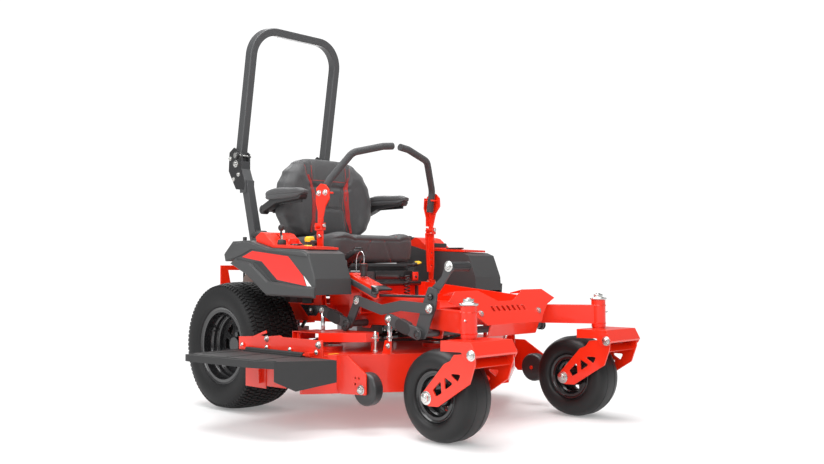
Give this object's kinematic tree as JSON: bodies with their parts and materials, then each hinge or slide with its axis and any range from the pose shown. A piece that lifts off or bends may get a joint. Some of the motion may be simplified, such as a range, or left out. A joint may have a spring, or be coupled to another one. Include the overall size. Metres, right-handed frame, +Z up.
{
  "type": "zero turn mower",
  "caption": "Ride-on zero turn mower with lap-bar steering, suspended caster forks, fabricated side-discharge deck and folding roll bar.",
  "frame": {"origin": "on the ground, at the middle of the whole machine's plan box", "axes": "+Z up, -Y towards the machine's front, +X towards its left side; the discharge chute is on -X"},
  "size_m": [1.579, 1.89, 1.8202],
  "materials": {
    "red_paint": "gloss",
    "grey_paint": "satin",
    "black_paint": "gloss",
    "pod_plastic": "matte",
    "rear_tyre": "matte",
    "caster_tyre": "satin",
    "chute_rubber": "matte",
    "roller_nylon": "satin",
    "seat_vinyl": "matte",
    "grip_foam": "matte",
    "steel": "satin",
    "cast": "satin",
    "alloy": "cast",
    "belt_rubber": "matte",
    "knob_plastic": "gloss",
    "cover_plastic": "matte"
  },
  "bodies": {
    "frame": {"left_frame_rail": "red_paint", "right_frame_rail": "red_paint", "frame_crossmembers": "red_paint", "nose_panel": "red_paint", "floor_pan": "red_paint", "rear_bumper": "red_paint", "left_rops_post": "grey_paint", "right_rops_post": "grey_paint", "rops_pins": "steel", "left_tank": "pod_plastic", "right_tank": "pod_plastic", "console_panels": "red_paint", "seat_base": "grey_paint", "height_plate": "red_paint", "engine": "cast", "engine_cover": "cover_plastic", "hydro_drives": "alloy"},
    "rops_hoop": {"rops_hoop": "grey_paint"},
    "seat": {"seat_pan": "grey_paint", "seat_cushion": "seat_vinyl", "seat_backrest": "seat_vinyl"},
    "deck": {"deck_shell": "red_paint", "chute_hinge": "red_paint", "belt_covers": "red_paint", "deck_belt": "belt_rubber"},
    "chute": {"discharge_chute": "chute_rubber"},
    "front_lift": {"lift_pedal": "grey_paint"},
    "rear_lift": {"rear_lift_arms": "grey_paint"},
    "lift_link": {"lift_link": "grey_paint"},
    "depth_rod": {"depth_rod": "steel"},
    "pto_knob": {"pto_knob": "knob_plastic"},
    "throttle_lever": {"throttle_lever": "knob_plastic"},
    "brake_lever": {"brake_lever": "black_paint"},
    "centre_spindle": {"centre_spindle": "steel"},
    "left_rear_wheel": {"left_rear_rim": "black_paint", "left_rear_tyre": "rear_tyre"},
    "left_caster_head": {"left_caster_head": "red_paint"},
    "left_fork_arm": {"left_fork_arm": "red_paint"},
    "left_caster_wheel": {"left_caster_rim": "black_paint", "left_caster_tyre": "caster_tyre"},
    "left_lever_post": {"left_lever_post": "red_paint"},
    "left_lap_bar": {"left_lever_head": "red_paint", "left_lap_bar": "grip_foam"},
    "left_armrest": {"left_armrest": "black_paint", "left_armrest_pad": "seat_vinyl"},
    "left_roller": {"left_roller": "roller_nylon"},
    "left_spindle": {"left_spindle": "steel"},
    "right_rear_wheel": {"right_rear_rim": "black_paint", "right_rear_tyre": "rear_tyre"},
    "right_caster_head": {"right_caster_head": "red_paint"},
    "right_fork_arm": {"right_fork_arm": "red_paint"},
    "right_caster_wheel": {"right_caster_rim": "black_paint", "right_caster_tyre": "caster_tyre"},
    "right_lever_post": {"right_lever_post": "red_paint"},
    "right_lap_bar": {"right_lever_head": "red_paint", "right_lap_bar": "grip_foam"},
    "right_armrest": {"right_armrest": "black_paint", "right_armrest_pad": "seat_vinyl"},
    "right_roller": {"right_roller": "roller_nylon"},
    "right_spindle": {"right_spindle": "steel"}
  },
  "joints": [
    {"name": "left_rear_wheel_spin", "type": "hinge", "parent": "frame", "child": "left_rear_wheel", "pos_m": [0.6065, 0.465, 0.2795], "axis": [1, 0, 0], "continuous": true},
    {"name": "left_caster_swivel", "type": "hinge", "parent": "frame", "child": "left_caster_head", "pos_m": [0.5435, -0.819, 0.43], "axis": [0, 0, 1], "continuous": true},
    {"name": "left_fork_suspension", "type": "hinge", "parent": "left_caster_head", "child": "left_fork_arm", "pos_m": [0.5435, -0.923, 0.325], "axis": [1, 0, 0], "range_deg": [-5, 0]},
    {"name": "left_caster_wheel_spin", "type": "hinge", "parent": "left_fork_arm", "child": "left_caster_wheel", "pos_m": [0.5435, -0.712, 0.165], "axis": [1, 0, 0], "continuous": true},
    {"name": "left_lever_drive", "type": "hinge", "parent": "frame", "child": "left_lever_post", "pos_m": [0.4815, 0.071, 0.548], "axis": [1, 0, 0], "range_deg": [-9, 14], "stiffness_Nm_per_rad": 40},
    {"name": "left_lever_park", "type": "hinge", "parent": "left_lever_post", "child": "left_lap_bar", "pos_m": [0.4815, 0.071, 0.8], "axis": [0, 1, 0], "range_deg": [0, 22]},
    {"name": "left_armrest_lift", "type": "hinge", "parent": "seat", "child": "left_armrest", "pos_m": [0.4535, 0.515, 0.893], "axis": [1, 0, 0], "range_deg": [-85, 0]},
    {"name": "left_roller_spin", "type": "hinge", "parent": "deck", "child": "left_roller", "pos_m": [0.649, -0.415, 0.168], "axis": [1, 0, 0], "continuous": true},
    {"name": "right_rear_wheel_spin", "type": "hinge", "parent": "frame", "child": "right_rear_wheel", "pos_m": [-0.3315, 0.465, 0.2795], "axis": [1, 0, 0], "continuous": true},
    {"name": "right_caster_swivel", "type": "hinge", "parent": "frame", "child": "right_caster_head", "pos_m": [-0.2685, -0.819, 0.43], "axis": [0, 0, 1], "continuous": true},
    {"name": "right_fork_suspension", "type": "hinge", "parent": "right_caster_head", "child": "right_fork_arm", "pos_m": [-0.2685, -0.923, 0.325], "axis": [1, 0, 0], "range_deg": [-5, 0]},
    {"name": "right_caster_wheel_spin", "type": "hinge", "parent": "right_fork_arm", "child": "right_caster_wheel", "pos_m": [-0.2685, -0.712, 0.165], "axis": [1, 0, 0], "continuous": true},
    {"name": "right_lever_drive", "type": "hinge", "parent": "frame", "child": "right_lever_post", "pos_m": [-0.2065, 0.071, 0.548], "axis": [1, 0, 0], "range_deg": [-9, 14], "stiffness_Nm_per_rad": 40},
    {"name": "right_lever_park", "type": "hinge", "parent": "right_lever_post", "child": "right_lap_bar", "pos_m": [-0.2065, 0.071, 0.8], "axis": [0, 1, 0], "range_deg": [-22, 0]},
    {"name": "right_armrest_lift", "type": "hinge", "parent": "seat", "child": "right_armrest", "pos_m": [-0.1785, 0.515, 0.893], "axis": [1, 0, 0], "range_deg": [-85, 0]},
    {"name": "right_roller_spin", "type": "hinge", "parent": "deck", "child": "right_roller", "pos_m": [-0.374, -0.415, 0.168], "axis": [1, 0, 0], "continuous": true},
    {"name": "rops_fold", "type": "hinge", "parent": "frame", "child": "rops_hoop", "pos_m": [0.1375, 0.791, 1.136], "axis": [1, 0, 0], "range_deg": [-105, 0]},
    {"name": "seat_slide", "type": "slide", "parent": "frame", "child": "seat", "axis": [0, 1, 0], "range_m": [-0.04, 0]},
    {"name": "deck_lift", "type": "slide", "parent": "frame", "child": "deck", "axis": [0, 0, 1], "range_m": [-0.09, 0]},
    {"name": "front_lift_turn", "type": "hinge", "parent": "frame", "child": "front_lift", "pos_m": [0.1375, -0.547, 0.37], "axis": [1, 0, 0], "range_deg": [-32.69, 0.01]},
    {"name": "rear_lift_turn", "type": "hinge", "parent": "frame", "child": "rear_lift", "pos_m": [0.1375, -0.145, 0.393], "axis": [1, 0, 0], "range_deg": [-32.69, 0.01]},
    {"name": "link_swing", "type": "hinge", "parent": "front_lift", "child": "lift_link", "pos_m": [-0.2345, -0.601, 0.465], "axis": [1, 0, 0], "range_deg": [-0.01, 32.69]},
    {"name": "depth_rod_swing", "type": "hinge", "parent": "front_lift", "child": "depth_rod", "pos_m": [-0.2345, -0.605, 0.509], "axis": [1, 0, 0], "range_deg": [-0.01, 32.69]},
    {"name": "left_blade_spin", "type": "hinge", "parent": "deck", "child": "left_spindle", "pos_m": [0.5475, -0.065, 0.3], "axis": [0, 0, 1], "continuous": true},
    {"name": "centre_blade_spin", "type": "hinge", "parent": "deck", "child": "centre_spindle", "pos_m": [0.1375, -0.28, 0.3], "axis": [0, 0, 1], "continuous": true},
    {"name": "right_blade_spin", "type": "hinge", "parent": "deck", "child": "right_spindle", "pos_m": [-0.2725, -0.065, 0.3], "axis": [0, 0, 1], "continuous": true},
    {"name": "chute_lift", "type": "hinge", "parent": "deck", "child": "chute", "pos_m": [-0.5355, -0.035, 0.293], "axis": [0, 1, 0], "range_deg": [0, 80]},
    {"name": "pto_pull", "type": "slide", "parent": "frame", "child": "pto_knob", "axis": [0, 0, 1], "range_m": [0, 0.012]},
    {"name": "throttle_move", "type": "hinge", "parent": "frame", "child": "throttle_lever", "pos_m": [-0.3425, 0.165, 0.724], "axis": [1, 0, 0], "range_deg": [-18, 18]},
    {"name": "brake_move", "type": "hinge", "parent": "frame", "child": "brake_lever", "pos_m": [-0.1205, 0.065, 0.585], "axis": [1, 0, 0], "range_deg": [-30, 0]}
  ],
  "couplings": [
    {"joint": "front_lift_turn", "follows": "deck_lift", "rad_per_m": 6.3384},
    {"joint": "rear_lift_turn", "follows": "deck_lift", "rad_per_m": 6.3384},
    {"joint": "link_swing", "follows": "deck_lift", "rad_per_m": -6.3384},
    {"joint": "depth_rod_swing", "follows": "deck_lift", "rad_per_m": -6.3384},
    {"joint": "left_blade_spin", "follows": "centre_blade_spin", "ratio": 1},
    {"joint": "right_blade_spin", "follows": "centre_blade_spin", "ratio": 1}
  ]
}
